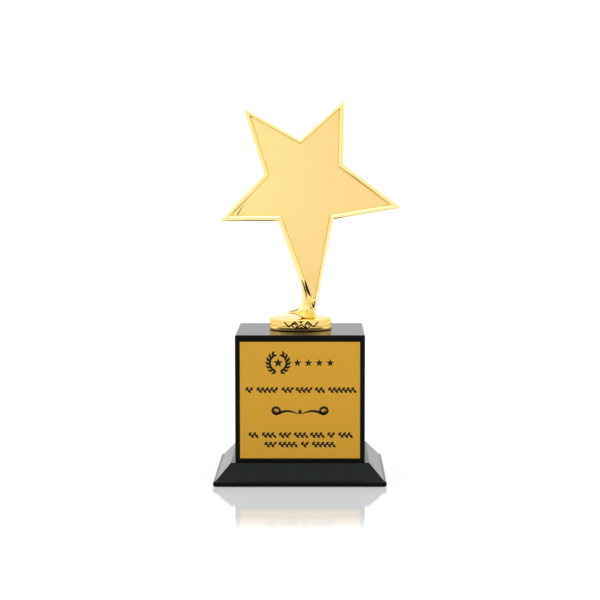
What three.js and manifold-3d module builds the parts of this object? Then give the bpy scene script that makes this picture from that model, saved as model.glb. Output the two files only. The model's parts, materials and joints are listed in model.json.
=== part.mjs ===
// Star trophy: a polished gold star with satin faces stands on a cast stem and an engraved disc, on a black
// lacquered MDF box with a gold name plate and a bevelled plinth. A threaded rod ties the figure, the box and
// the plinth together. Millimetres, +Z up, front towards -Y, origin at the centre of the underside.
import * as THREE from 'three';
import { mergeVertices } from 'three/addons/utils/BufferGeometryUtils.js';
import Module from 'manifold-3d';

const wasm = await Module();
wasm.setup();

// ---- Driving dimensions ------------------------------------------------------------------------------

const CLEARANCE = 0.3; // around a piece that sits in another
const GLUE = 0.1; // thickness of a glue line

const PAD = { thickness: 0.4, inset: 4, corner: 4 };
const PLINTH = { width: 113, topWidth: 90.4, height: 14.1, lip: 3.6, round: 0.9, corner: 1.5 };
const BOX = { width: 85, height: 83.5, wall: 6, top: 9 };
const BLOCK = { width: 12, height: 60 };
const PLATE = { width: 78.5, height: 76.7, thickness: 0.8, aboveBox: 2.6 };
const TAPE = { inset: 2.5, thickness: 0.3 };

const DISC = { height: 7.6, wall: 20.75, segments: 90 };
// The disc's outside from its foot up: radius and height. The foot is rolled.
const DISC_PROFILE = [
  [19.5, 0],
  [20.6, 0.4],
  [21.1, 1.2],
  [21.1, 2.0],
  [20.8, 2.8],
  [20.6, 3.1],
  [DISC.wall, 3.4],
  [DISC.wall, 7.2],
  [20.6, 7.5],
  [20.3, DISC.height],
];

// The emblem cut into the front of the disc's wall. Places on the wall are degrees from the emblem's middle
// and heights above the disc's foot; the lines and the diamond are mirrored to the other side.
const EMBLEM_TURN = 1.9; // degrees from the front to the emblem's middle
const GROOVE = { halfWidth: 0.34, bottom: 20.25, outer: 21.6, steps: 4 };
const GROOVE_LINES = [
  [[33, 6.3], [23, 3.3], [12, 6.8], [6.4, 4.6]],
  [[18.3, 4.6], [12, 2.2], [6.4, 4.6]],
  [[0, 5.1], [8.6, 2.2]],
  [[0, 3.1], [3.6, 1.9]],
];
// Corners of the flat diamond and of the pointed notch: degrees, height and radius of the cutter's inner end.
const DIAMOND = [[12, 6.5, 20.58], [17.3, 4.5, 20.5], [12, 2.5, 20.42], [6.7, 4.5, 20.5]];
const NOTCH = [[-6.5, 7.15], [6.5, 7.15], [0, 5.9]];
const NOTCH_BOTTOM = [[-5.8, 7.05, 18.9], [5.5, 7.05, 20.5], [-0.3, 6.15, 19]];

const STAR = { rim: 2.6, halfDepth: 3.5, halfWall: 2.2, halfWeb: 1.5, tangEnd: 7.9 };
const FACE = { thickness: 0.6, gap: 0.4, bottom: 14.6 };

const ROD = { radius: 3, chamfer: 0.6, intoDisc: 5.8 };
const NUT = { acrossFlats: 10, height: 5 };
const WASHER = { radius: 9, thickness: 1.2 };
const SPRING_WASHER = { radius: 6, thickness: 1.6, gapDegrees: 14 };
const RECESS = { radius: 11, depth: 9 }; // for the nut and washers, under the plinth
const WOOD_SCREW = { radius: 1.75, head: 3.7, headHeight: 2.4, length: 25, tip: 3 };
const STEM_SCREW = { radius: 1.5, head: 2.75, headHeight: 2.4, length: 8, x: 7.1 };

// The star's outline in its own plane: [sideways, above the disc's top], tips and notches in turn from the
// upper left tip. The lowest tip stands on the disc.
const STAR_OUTLINE = [
  [-37.8, 140.3],
  [-0.1, 119.2],
  [29.5, 145.8],
  [28.7, 103.1],
  [67.7, 74.1],
  [21.9, 66.4],
  [8.9, -0.3],
  [-15.0, 65.2],
  [-54.0, 65.1],
  [-24.3, 96.6],
].map(([x, z]) => new THREE.Vector2(x, z));

// The stem's swoosh, from the upturned toe to where it dies into the star's edge:
// [sideways, above the disc's top, half width, half depth].
const SWOOSH = [
  [-10.0, 3.7, 0.4, 0.7],
  [-7.6, 4.4, 1.4, 2.3],
  [-3.6, 4.5, 2.0, 3.6],
  [0.6, 4.9, 3.0, 4.7],
  [3.9, 8.2, 3.2, 5.1],
  [4.6, 12.4, 2.9, 5.2],
  [3.4, 17.4, 2.3, 5.0],
  [1.8, 22.0, 1.6, 4.7],
  [0.5, 25.6, 1.0, 4.3],
];

// The two lobes of the stem's heel: centre sideways and up, then radii sideways, front to back and up.
const HEEL = [
  { x: 5.2, z: 3.4, radii: [4.4, 5.2, 4.8] },
  { x: 9.2, z: 3.6, radii: [2.1, 4.6, 5.0] },
];

// ---- Levels and places worked out from them ----------------------------------------------------------

const PLINTH_TOP = PAD.thickness + PLINTH.height;
const BOX_TOP = PLINTH_TOP + BOX.height;
const DISC_TOP = BOX_TOP + DISC.height;
const WALL_HEIGHT = BOX.height - BOX.top;
const RECESS_TOP = PAD.thickness + RECESS.depth;
const ROD_BOTTOM = RECESS_TOP - WASHER.thickness - SPRING_WASHER.thickness - NUT.height - 0.6;
const ROD_TOP = BOX_TOP + ROD.intoDisc;
const BLOCK_CENTRE = BOX.width / 2 - BOX.wall - BLOCK.width / 2;

// ---- Materials ---------------------------------------------------------------------------------------

function finish(color, roughness, metalness) {
  return new THREE.MeshStandardMaterial({ color, roughness, metalness });
}

const polishedGold = finish(0xf2c14e, 0.08, 1);
const satinGold = finish(0xfbdc92, 0.38, 1);
const plateGold = finish(0xcc9a33, 0.3, 0.9);
const blackLacquer = finish(0x121314, 0.12, 0);
const rawWood = finish(0xb98f5f, 0.8, 0);
const zincSteel = finish(0xb9bcc0, 0.35, 1);
const blackFelt = finish(0x17181a, 0.95, 0);
const foamTape = finish(0xdedbd2, 0.8, 0);

// ---- Solids ------------------------------------------------------------------------------------------

function solidOf(geometry) {
  const bare = geometry.clone();
  bare.deleteAttribute('normal');
  bare.deleteAttribute('uv');
  const merged = mergeVertices(bare, 1e-4);
  const vertProperties = merged.attributes.position.array;
  const triVerts = new Uint32Array(merged.index.array);
  return new wasm.Manifold(new wasm.Mesh({ numProp: 3, vertProperties, triVerts }));
}

function geometryOf(solid) {
  const { vertProperties, triVerts } = solid.getMesh();
  const geometry = new THREE.BufferGeometry();
  geometry.setAttribute('position', new THREE.BufferAttribute(vertProperties, 3));
  geometry.setIndex(new THREE.BufferAttribute(triVerts, 1));
  geometry.computeVertexNormals();
  return geometry;
}

function cut(geometry, ...tools) {
  const left = tools.reduce((solid, tool) => solid.subtract(solidOf(tool)), solidOf(geometry));
  const largest = left.decompose().sort((a, b) => b.volume() - a.volume())[0];
  return geometryOf(largest);
}

function join(...geometries) {
  return geometryOf(geometries.map(solidOf).reduce((all, solid) => all.add(solid)));
}

function signedVolume(points, faces) {
  const six = faces.reduce((sum, [a, b, c]) => sum + points[a].dot(points[b].clone().cross(points[c])), 0);
  return six / 6;
}

const cornerArea = (a, b, c) => (b.x - a.x) * (c.y - a.y) - (b.y - a.y) * (c.x - a.x);

// A closed surface through rings of points, with a flat cap on the first and the last ring. flatten gives a
// ring's points in two dimensions for the caps.
function loft(rings, flatten) {
  const count = rings[0].length;
  const points = rings.flat();
  const faces = [];
  for (let ring = 0; ring < rings.length - 1; ring++) {
    for (let i = 0; i < count; i++) {
      const a = ring * count + i;
      const b = ring * count + ((i + 1) % count);
      faces.push([a, b, b + count], [a, b + count, a + count]);
    }
  }
  const cap = (ring, reversed) => {
    const flat = rings[ring].map(flatten);
    const wanted = Math.sign(THREE.ShapeUtils.area(flat)) * (reversed ? -1 : 1);
    for (const face of THREE.ShapeUtils.triangulateShape(flat, [])) {
      const [a, b, c] = face.map((i) => i + ring * count);
      const same = Math.sign(cornerArea(...face.map((i) => flat[i]))) === wanted;
      faces.push(same ? [a, b, c] : [a, c, b]);
    }
  };
  cap(0, true);
  cap(rings.length - 1, false);
  const outward = signedVolume(points, faces) > 0;
  const geometry = new THREE.BufferGeometry().setFromPoints(points);
  geometry.setIndex(faces.flatMap(([a, b, c]) => (outward ? [a, b, c] : [a, c, b])));
  return geometry;
}

const fromAbove = (point) => new THREE.Vector2(point.x, point.y);
const fromFront = (point) => new THREE.Vector2(point.x, point.z);

// A solid of revolution about Z from [radius, height] pairs that start and end on the axis.
function turned(profile, segments = 32) {
  const points = profile.map(([radius, height]) => new THREE.Vector2(radius, height));
  return new THREE.LatheGeometry(points, segments).rotateX(Math.PI / 2);
}

function cylinder(radius, bottom, top, x = 0, y = 0, segments = 24) {
  const profile = [[0, bottom], [radius, bottom], [radius, top], [0, top]];
  return turned(profile, segments).translate(x, y, 0);
}

function slab(width, depth, height, bottom = 0) {
  return new THREE.BoxGeometry(width, depth, height).translate(0, 0, bottom + height / 2);
}

function ringPlate(outline, holeRadius, thickness, segments = 10) {
  const hole = new THREE.Path().absarc(0, 0, holeRadius, 0, 2 * Math.PI, true);
  outline.holes.push(hole);
  const options = { depth: thickness, bevelEnabled: false, curveSegments: segments };
  return new THREE.ExtrudeGeometry(outline, options);
}

// A square ring of points at one height, with rounded corners.
function roundedSquare(half, radius, z, steps = 3) {
  const ring = [];
  for (let corner = 0; corner < 4; corner++) {
    const turn = (corner * Math.PI) / 2;
    const centre = new THREE.Vector2(half - radius, half - radius).rotateAround(new THREE.Vector2(), turn);
    for (let step = 0; step <= steps; step++) {
      const angle = turn + (step / steps) * (Math.PI / 2);
      const x = centre.x + radius * Math.cos(angle);
      const y = centre.y + radius * Math.sin(angle);
      ring.push(new THREE.Vector3(x, y, z));
    }
  }
  return ring;
}

// ---- Star --------------------------------------------------------------------------------------------

// The star's outline moved inwards by a distance, corners mitred. A negative distance moves it outwards.
function insetOutline(distance) {
  const count = STAR_OUTLINE.length;
  return STAR_OUTLINE.map((corner, i) => {
    const before = corner.clone().sub(STAR_OUTLINE[(i + count - 1) % count]).normalize();
    const after = STAR_OUTLINE[(i + 1) % count].clone().sub(corner).normalize();
    const inwards = new THREE.Vector2(before.y + after.y, -before.x - after.x).normalize();
    const share = inwards.x * before.y - inwards.y * before.x;
    return corner.clone().addScaledVector(inwards, distance / share);
  });
}

// The outline moved inwards by a distance, at y, as a ring of points.
const starRing = (distance, y) => insetOutline(distance).map(({ x, y: z }) => new THREE.Vector3(x, y, z));

// Everything below a height above the disc's top.
const below = (height) => slab(200, 60, 40, height - 40);

// One side of the rim's section as [distance inwards, y]: a half-round bead and the wall of the recess.
function rimSection(side) {
  const steps = 6;
  const bead = Array.from({ length: steps + 1 }, (_, i) => {
    const angle = (i / steps) * Math.PI;
    const rise = (STAR.halfDepth - STAR.halfWall) * Math.sin(angle);
    return [(STAR.rim / 2) * (1 - Math.cos(angle)), side * (STAR.halfWall + rise)];
  });
  return [...bead, [STAR.rim, side * STAR.halfWeb]];
}

function starFrame() {
  const section = [...rimSection(1).reverse(), ...rimSection(-1)];
  const whole = loft(section.map(([distance, y]) => starRing(distance, y)), fromFront);
  return cut(whole, below(STAR.tangEnd));
}

// The room that the star's lowest tip needs in the stem.
function tangRoom() {
  const half = STAR.halfDepth + CLEARANCE;
  const whole = loft([starRing(-CLEARANCE, half), starRing(-CLEARANCE, -half)], fromFront);
  return cut(whole, below(STAR.tangEnd - CLEARANCE));
}

function starFace() {
  const inset = STAR.rim + FACE.gap;
  const whole = loft([starRing(inset, FACE.thickness), starRing(inset, 0)], fromFront);
  return cut(whole, below(FACE.bottom));
}

// ---- Stem and disc -----------------------------------------------------------------------------------

// A limb with an elliptical section, along [x, z, half width, half depth] stations.
function limb(stations, steps = 20, sides = 14) {
  const middle = new THREE.CatmullRomCurve3(stations.map(([x, z]) => new THREE.Vector3(x, 0, z)));
  const sizes = stations.map(([, , width, depth]) => new THREE.Vector3(width, depth, 0));
  const size = new THREE.CatmullRomCurve3(sizes);
  const rings = Array.from({ length: steps + 1 }, (_, i) => {
    const centre = middle.getPoint(i / steps);
    const along = middle.getTangent(i / steps);
    const half = size.getPoint(i / steps);
    const across = new THREE.Vector3(-along.z, 0, along.x);
    return Array.from({ length: sides }, (_, j) => {
      const angle = (j / sides) * 2 * Math.PI;
      const point = centre.clone().addScaledVector(across, half.x * Math.cos(angle));
      return point.add(new THREE.Vector3(0, half.y * Math.sin(angle), 0));
    });
  });
  return loft(rings, (point) => new THREE.Vector2(point.z - point.x, point.y));
}

function lobe({ x, z, radii }) {
  const ball = new THREE.SphereGeometry(1, 20, 14).rotateX(Math.PI / 2);
  return ball.scale(...radii).translate(x, 0, z);
}

function stem() {
  const screwHole = cylinder(STEM_SCREW.radius + CLEARANCE, -1, 6.2, STEM_SCREW.x);
  return cut(join(limb(SWOOSH), ...HEEL.map(lobe)), tangRoom(), below(0), screwHole);
}

// A place on the disc's wall: degrees from the emblem's middle, height above the foot and radius.
function onDisc(degrees, z, radius) {
  const angle = THREE.MathUtils.degToRad(degrees + EMBLEM_TURN - 90);
  return new THREE.Vector3(radius * Math.cos(angle), radius * Math.sin(angle), z);
}

// A V-shaped cutter between two places on the disc's wall.
function groove(start, end) {
  const perDegree = THREE.MathUtils.degToRad(DISC.wall);
  const from = new THREE.Vector2(...start);
  const to = new THREE.Vector2(...end);
  const along = new THREE.Vector2((to.x - from.x) * perDegree, to.y - from.y).normalize();
  const spread = (GROOVE.halfWidth * (GROOVE.outer - GROOVE.bottom)) / (DISC.wall - GROOVE.bottom);
  const aside = new THREE.Vector2(-along.y / perDegree, along.x).multiplyScalar(spread);
  const rings = Array.from({ length: GROOVE.steps + 1 }, (_, i) => {
    const middle = from.clone().lerp(to, i / GROOVE.steps);
    return [
      onDisc(middle.x + aside.x, middle.y + aside.y, GROOVE.outer),
      onDisc(middle.x, middle.y, GROOVE.bottom),
      onDisc(middle.x - aside.x, middle.y - aside.y, GROOVE.outer),
    ];
  });
  return loft(rings, (point) => new THREE.Vector2(Math.hypot(point.x, point.y), point.z));
}

// A cutter from the wall's outside in to a floor whose corners have radii of their own.
function pocket(mouth, floor) {
  const mouthAt = (radius) => mouth.map(([degrees, z]) => onDisc(degrees, z, radius));
  return loft([mouthAt(GROOVE.outer), mouthAt(DISC.wall), floor.map((corner) => onDisc(...corner))], fromFront);
}

function emblem() {
  const mirrored = ([degrees, ...rest]) => [-degrees, ...rest];
  const tools = [pocket(NOTCH, NOTCH_BOTTOM)];
  for (const side of [(place) => place, mirrored]) {
    tools.push(pocket(DIAMOND.map(side), DIAMOND.map(side)));
    for (const line of GROOVE_LINES) {
      for (let i = 1; i < line.length; i++) tools.push(groove(side(line[i - 1]), side(line[i])));
    }
  }
  return tools;
}

function disc() {
  const rodHole = cylinder(ROD.radius + CLEARANCE, -1, ROD.intoDisc + CLEARANCE);
  const headRoom = cylinder(STEM_SCREW.head + CLEARANCE, -1, STEM_SCREW.headHeight + 0.3, STEM_SCREW.x);
  const shankRoom = cylinder(STEM_SCREW.radius + CLEARANCE, -1, DISC.height + 1, STEM_SCREW.x);
  const body = turned([[0, 0], ...DISC_PROFILE, [0, DISC.height]], DISC.segments);
  return cut(body, rodHole, headRoom, shankRoom, ...emblem());
}

// ---- Box, plinth and plate ---------------------------------------------------------------------------

// One wall of the box, mitred at both ends, along the front.
function wall() {
  const outer = BOX.width / 2;
  const inner = outer - BOX.wall;
  const plan = new THREE.Shape();
  plan.moveTo(-outer + GLUE, -outer);
  plan.lineTo(outer - GLUE, -outer);
  plan.lineTo(inner - GLUE, -inner);
  plan.lineTo(-inner + GLUE, -inner);
  plan.closePath();
  return new THREE.ExtrudeGeometry(plan, { depth: WALL_HEIGHT, bevelEnabled: false });
}

function topPanel() {
  return cut(slab(BOX.width, BOX.width, BOX.top), cylinder(ROD.radius + 0.5, -1, BOX.top + 1));
}

function cornerBlock() {
  const side = BLOCK.width - 2 * GLUE;
  const pilot = cylinder(WOOD_SCREW.radius + CLEARANCE, -1, WOOD_SCREW.length - PLINTH.height + 1);
  return cut(slab(side, side, BLOCK.height), pilot);
}

const screwPlaces = [
  ['front_left', -BLOCK_CENTRE, -BLOCK_CENTRE],
  ['front_right', BLOCK_CENTRE, -BLOCK_CENTRE],
  ['back_right', BLOCK_CENTRE, BLOCK_CENTRE],
  ['back_left', -BLOCK_CENTRE, BLOCK_CENTRE],
];

function screwRoom(x, y) {
  const shank = WOOD_SCREW.radius + CLEARANCE;
  const head = WOOD_SCREW.head + CLEARANCE;
  const cone = WOOD_SCREW.headHeight + 0.3;
  const profile = [[0, -1], [head, -1], [head, 0.3], [shank, cone], [shank, 20], [0, 20]];
  return turned(profile, 24).translate(x, y, 0);
}

function plinth() {
  const outer = PLINTH.width / 2;
  const inner = PLINTH.topWidth / 2;
  const { lip, round, corner, height } = PLINTH;
  const rings = [
    roundedSquare(outer - round, corner, 0),
    roundedSquare(outer - 0.3 * round, corner, 0.3 * round),
    roundedSquare(outer, corner, round),
    roundedSquare(outer, corner, lip - round),
    roundedSquare(outer - 0.3 * round, corner, lip - 0.3 * round),
    roundedSquare(outer - round, corner, lip + 0.25 * round),
    roundedSquare(inner, 0.8, height - 0.4),
    roundedSquare(inner - 0.4, 0.8, height),
  ];
  const rodHole = cylinder(ROD.radius + 0.5, -1, height + 1);
  const recess = cylinder(RECESS.radius, -1, RECESS.depth, 0, 0, 40);
  return cut(loft(rings, fromAbove), rodHole, recess, ...screwPlaces.map(([, x, y]) => screwRoom(x, y)));
}

function pad() {
  const half = PLINTH.width / 2 - PAD.inset;
  const rings = [0, PAD.thickness].map((z) => roundedSquare(half, PAD.corner, z));
  return loft(rings, fromAbove);
}

// ---- Fasteners ---------------------------------------------------------------------------------------

function rod() {
  const { radius, chamfer } = ROD;
  const length = ROD_TOP - ROD_BOTTOM;
  const profile = [[0, 0], [radius - chamfer, 0], [radius, chamfer], [radius, length - chamfer],
    [radius - chamfer, length], [0, length]];
  return turned(profile, 24);
}

function nut() {
  const corner = NUT.acrossFlats / Math.sqrt(3);
  const hexagon = new THREE.Shape();
  for (let i = 0; i < 6; i++) {
    const angle = (i * Math.PI) / 3;
    if (i === 0) hexagon.moveTo(corner, 0);
    else hexagon.lineTo(corner * Math.cos(angle), corner * Math.sin(angle));
  }
  hexagon.closePath();
  return ringPlate(hexagon, ROD.radius + CLEARANCE, NUT.height);
}

function washer() {
  const outline = new THREE.Shape().absarc(0, 0, WASHER.radius, 0, 2 * Math.PI);
  return ringPlate(outline, ROD.radius + CLEARANCE, WASHER.thickness, 16);
}

function springWasher() {
  const gap = THREE.MathUtils.degToRad(SPRING_WASHER.gapDegrees) / 2;
  const outline = new THREE.Shape();
  outline.absarc(0, 0, SPRING_WASHER.radius, gap, 2 * Math.PI - gap);
  outline.absarc(0, 0, ROD.radius + CLEARANCE, 2 * Math.PI - gap, gap, true);
  outline.closePath();
  const options = { depth: SPRING_WASHER.thickness, bevelEnabled: false, curveSegments: 24 };
  return new THREE.ExtrudeGeometry(outline, options);
}

// A cross-shaped driver recess that opens downwards at z = 0.
function crossRecess(reach, width, depth) {
  const bar = new THREE.BoxGeometry(reach, width, 2 * depth);
  return [bar, bar.clone().rotateZ(Math.PI / 2)];
}

function woodScrew() {
  const { radius, head, headHeight, length, tip } = WOOD_SCREW;
  const profile = [[0, 0], [head, 0], [head, 0.3], [radius, headHeight + 0.3],
    [radius, length - tip], [0.3, length], [0, length]];
  return cut(turned(profile, 20), ...crossRecess(4.2, 0.9, 1.5));
}

function stemScrew() {
  const { radius, head, headHeight, length } = STEM_SCREW;
  const profile = [[0, 0], [head, 0], [head, headHeight], [radius, headHeight], [radius, headHeight + length],
    [0, headHeight + length]];
  return cut(turned(profile, 20), ...crossRecess(3, 0.7, 1.2));
}

// ---- Assembly ----------------------------------------------------------------------------------------

function piece(name, geometry, material, z = 0, x = 0, y = 0) {
  const mesh = new THREE.Mesh(geometry, material);
  mesh.name = name;
  mesh.position.set(x, y, z);
  return mesh;
}

function figure() {
  const group = new THREE.Group();
  const facePlane = STAR.halfWeb;
  group.add(piece('star_frame', starFrame(), polishedGold));
  group.add(piece('star_face_front', starFace(), satinGold, 0, 0, -facePlane - FACE.thickness));
  group.add(piece('star_face_back', starFace(), satinGold, 0, 0, facePlane));
  group.add(piece('stem', stem(), polishedGold));
  group.add(piece('riser_disc', disc(), polishedGold, -DISC.height));
  group.add(piece('stem_screw', stemScrew(), zincSteel, 0.3 - DISC.height, STEM_SCREW.x));
  group.position.z = DISC_TOP;
  return group;
}

function box() {
  const group = new THREE.Group();
  group.add(piece('top_panel', topPanel(), blackLacquer, WALL_HEIGHT));
  ['front_wall', 'right_wall', 'back_wall', 'left_wall'].forEach((name, quarter) => {
    const mesh = piece(name, wall(), blackLacquer);
    mesh.rotation.z = (quarter * Math.PI) / 2;
    group.add(mesh);
  });
  for (const [place, x, y] of screwPlaces) {
    group.add(piece(`corner_block_${place}`, cornerBlock(), rawWood, 0, x, y));
  }
  const tapeBack = -BOX.width / 2;
  const tapeWidth = PLATE.width - 2 * TAPE.inset;
  const tapeHeight = PLATE.height - 2 * TAPE.inset;
  const tape = slab(tapeWidth, TAPE.thickness, tapeHeight, TAPE.inset);
  group.add(piece('name_plate_tape', tape, foamTape, PLATE.aboveBox, 0, tapeBack - TAPE.thickness / 2));
  const plate = slab(PLATE.width, PLATE.thickness, PLATE.height);
  const plateMiddle = tapeBack - TAPE.thickness - PLATE.thickness / 2;
  group.add(piece('name_plate', plate, plateGold, PLATE.aboveBox, 0, plateMiddle));
  group.position.z = PLINTH_TOP;
  return group;
}

function base() {
  const group = new THREE.Group();
  group.add(piece('felt_pad', pad(), blackFelt));
  group.add(piece('plinth', plinth(), blackLacquer, PAD.thickness));
  for (const [place, x, y] of screwPlaces) {
    group.add(piece(`plinth_screw_${place}`, woodScrew(), zincSteel, PAD.thickness, x, y));
  }
  return group;
}

function tie() {
  const group = new THREE.Group();
  const washerBottom = RECESS_TOP - WASHER.thickness;
  const springBottom = washerBottom - SPRING_WASHER.thickness;
  group.add(piece('threaded_rod', rod(), zincSteel, ROD_BOTTOM));
  group.add(piece('rod_washer', washer(), zincSteel, washerBottom));
  group.add(piece('spring_washer', springWasher(), zincSteel, springBottom));
  group.add(piece('rod_nut', nut(), zincSteel, springBottom - NUT.height));
  return group;
}

const trophy = new THREE.Group();
trophy.add(base(), box(), figure(), tie());
export default trophy;
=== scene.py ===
"""Star trophy: the looks. Polished and satin gold star on a cast stem and an engraved disc, on a black
lacquered box with a gold name plate and a bevelled plinth. Lengths in the script are millimetres, in the
frame's own axes: +Z up, front towards -Y, origin at the centre of the underside."""
import json
import math

import bmesh
import bpy
from mathutils import Matrix, Vector, geometry

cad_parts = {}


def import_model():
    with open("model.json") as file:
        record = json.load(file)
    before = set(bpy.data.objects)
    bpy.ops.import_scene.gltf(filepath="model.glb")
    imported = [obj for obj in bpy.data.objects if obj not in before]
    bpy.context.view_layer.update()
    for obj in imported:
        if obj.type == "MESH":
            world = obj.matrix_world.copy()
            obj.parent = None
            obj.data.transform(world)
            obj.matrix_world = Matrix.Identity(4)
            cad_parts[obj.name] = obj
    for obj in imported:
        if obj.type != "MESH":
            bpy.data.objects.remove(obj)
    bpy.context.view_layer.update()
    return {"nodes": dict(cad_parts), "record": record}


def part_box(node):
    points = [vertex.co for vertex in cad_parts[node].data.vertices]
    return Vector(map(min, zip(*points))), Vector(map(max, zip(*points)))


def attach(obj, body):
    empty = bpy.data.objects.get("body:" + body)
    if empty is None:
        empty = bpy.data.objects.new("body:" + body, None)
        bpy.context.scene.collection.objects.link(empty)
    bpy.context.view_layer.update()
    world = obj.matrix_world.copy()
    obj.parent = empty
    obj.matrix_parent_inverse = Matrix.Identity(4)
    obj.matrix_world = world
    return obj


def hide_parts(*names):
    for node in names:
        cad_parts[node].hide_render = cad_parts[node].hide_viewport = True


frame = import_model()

MM = 0.001
UP = Vector((0, 0, 1))


# ---- The frame's own places ----


def box_mm(node):
    """Lowest and highest corner of a CAD node, in millimetres."""
    low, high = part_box(node)
    return low / MM, high / MM


DISC_LOW, DISC_HIGH = box_mm("riser_disc")
DISC_TOP = DISC_HIGH.z
DISC_HEIGHT = DISC_HIGH.z - DISC_LOW.z
BOX_LOW, BOX_HIGH = box_mm("top_panel")
BOX_HALF = BOX_HIGH.x
PLINTH_LOW, PLINTH_HIGH = box_mm("plinth")
PLATE_LOW, PLATE_HIGH = box_mm("name_plate")
STAR_HALF_DEPTH = box_mm("star_frame")[1].y

# The star's outline: sideways, and above the disc's top, from the upper left tip round to the left notch.
STAR_OUTLINE = [
    (-37.8, 140.3), (-0.1, 119.2), (29.5, 145.8), (28.7, 103.1), (67.7, 74.1),
    (21.9, 66.4), (8.9, -0.3), (-15.0, 65.2), (-54.0, 65.1), (-24.3, 96.6),
]
LOWEST_TIP = 6


# ---- Nodes and materials ----


class Shader:
    """A material's node tree, with short calls for the nodes that the materials here share."""

    def __init__(self, name, **sockets):
        self.material = bpy.data.materials.new(name)
        self.material.use_nodes = True
        self.tree = self.material.node_tree
        self.surface = self.tree.nodes["Principled BSDF"]
        for socket, value in sockets.items():
            self.surface.inputs[socket.replace("_", " ")].default_value = value

    def node(self, kind, **settings):
        made = self.tree.nodes.new(kind)
        for key, value in settings.items():
            setattr(made, key, value)
        return made

    def link(self, source, target):
        self.tree.links.new(source, target)

    def place(self, stretch=(1, 1, 1)):
        """Object coordinates in metres, stretched."""
        coordinates = self.node("ShaderNodeTexCoord")
        mapping = self.node("ShaderNodeMapping")
        mapping.inputs["Scale"].default_value = stretch
        self.link(coordinates.outputs["Object"], mapping.inputs["Vector"])
        return mapping.outputs["Vector"]

    def noise(self, scale, detail=3, roughness=0.5, stretch=(1, 1, 1), distortion=0):
        made = self.node("ShaderNodeTexNoise")
        made.inputs["Scale"].default_value = scale
        made.inputs["Detail"].default_value = detail
        made.inputs["Roughness"].default_value = roughness
        made.inputs["Distortion"].default_value = distortion
        self.link(self.place(stretch), made.inputs["Vector"])
        return made.outputs["Fac"]

    def spread(self, value, low, high, start=0.3, end=0.7):
        """value from start to end becomes low to high."""
        made = self.node("ShaderNodeMapRange")
        for name, number in (("From Min", start), ("From Max", end), ("To Min", low), ("To Max", high)):
            made.inputs[name].default_value = number
        self.link(value, made.inputs["Value"])
        return made.outputs["Result"]

    def blend(self, value, first, second):
        """Colour from first to second as value goes from 0 to 1."""
        made = self.node("ShaderNodeMix", data_type="RGBA")
        self.link(value, made.inputs[0])
        for socket, colour in ((made.inputs[6], first), (made.inputs[7], second)):
            if isinstance(colour, tuple):
                socket.default_value = (*colour, 1)
            else:
                self.link(colour, socket)
        return made.outputs[2]

    def part(self, vector, axis):
        made = self.node("ShaderNodeSeparateXYZ")
        self.link(vector, made.inputs["Vector"])
        return made.outputs[axis]

    def combine(self, operation, first, second):
        made = self.node("ShaderNodeMath", operation=operation)
        self.link(first, made.inputs[0])
        self.link(second, made.inputs[1])
        return made.outputs["Value"]

    def length(self, vector):
        made = self.node("ShaderNodeVectorMath", operation="LENGTH")
        self.link(vector, made.inputs[0])
        return made.outputs["Value"]

    def colour(self, source):
        self.link(source, self.surface.inputs["Base Color"])

    def rough(self, source):
        self.link(source, self.surface.inputs["Roughness"])

    def bump(self, height, distance):
        """height of 0 to 1 becomes a relief of that many millimetres."""
        made = self.node("ShaderNodeBump")
        made.inputs["Strength"].default_value = 1.0
        made.inputs["Distance"].default_value = distance * MM
        self.link(height, made.inputs["Height"])
        self.link(made.outputs["Normal"], self.surface.inputs["Normal"])


# Painted shade: the dark tone painted into the gold's creases and grooves.
CREASE_SHADE = (0.05, 0.03, 0.008)  # the tone of gold in a dark crease


def polished_gold(name, crease_shade, reach, deep, where, groove_shade=None, unshaded_tops=False):
    """Mirror-polished plating: a faint orange peel, hazier where it was handled, with painted shade in the
    creases.

    grime is how open a crease is where its painted shade is black, and where it is unshaded, looking as many
    millimetres around as reach. deep is the darker tone, painted shade, that the plating has where the
    function where is 1. The function patina is 0 where a groove is painted dark as shade. unshaded_tops keeps
    what faces up free of painted crease shade."""
    made = Shader(name, Metallic=1.0, Specular_Tint=(1.0, 0.88, 0.5, 1))
    gold = made.blend(made.noise(90, 2), (0.98, 0.79, 0.34), (0.98, 0.84, 0.41))
    # Painted shade: the gold turns to the darker tone deep where the function where is 1.
    gold = made.blend(where(made), gold, deep)
    # Painted shade: ambient occlusion darkens the gold in creases and recesses, where shade falls.
    openness = made.node("ShaderNodeAmbientOcclusion", samples=8)
    openness.inputs["Distance"].default_value = reach * MM
    unshaded = made.spread(openness.outputs["AO"], 0, 1, *crease_shade)
    if unshaded_tops:
        unshaded = made.combine("MAXIMUM", unshaded, made.spread(upright(made), 1, 0, 0, 1))
    # Painted shade: grooves are darkened by the given mask.
    if groove_shade:
        unshaded = made.combine("MULTIPLY", unshaded, groove_shade(made))
    made.colour(made.blend(unshaded, CREASE_SHADE, gold))
    made.rough(made.spread(made.noise(260, 4), 0.045, 0.11))
    made.bump(made.noise(420, 2), 0.012)
    return made.material


def upright(made):
    """1 on walls and below, 0 on surfaces that face up."""
    normal = made.node("ShaderNodeNewGeometry").outputs["True Normal"]
    return made.spread(made.part(normal, "Z"), 1, 0, 0.2, 0.8)


# Places on the stem and on the star's foot, sideways or above the disc's top, between which the gold changes
# to a darker painted shade.
HEEL_FROM, HEEL_TO = 2.5, 6
FOOT_FROM, FOOT_TO = 11.4, 16.4
FOOT_LEFT, FOOT_RIGHT = 7, 7.8


def heel_side(made):
    """0 on the toe's side of the stem, 1 on the heel's, which is painted a darker shade."""
    return made.spread(made.part(made.place(), "X"), 0, 1, HEEL_FROM * MM, HEEL_TO * MM)


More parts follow.
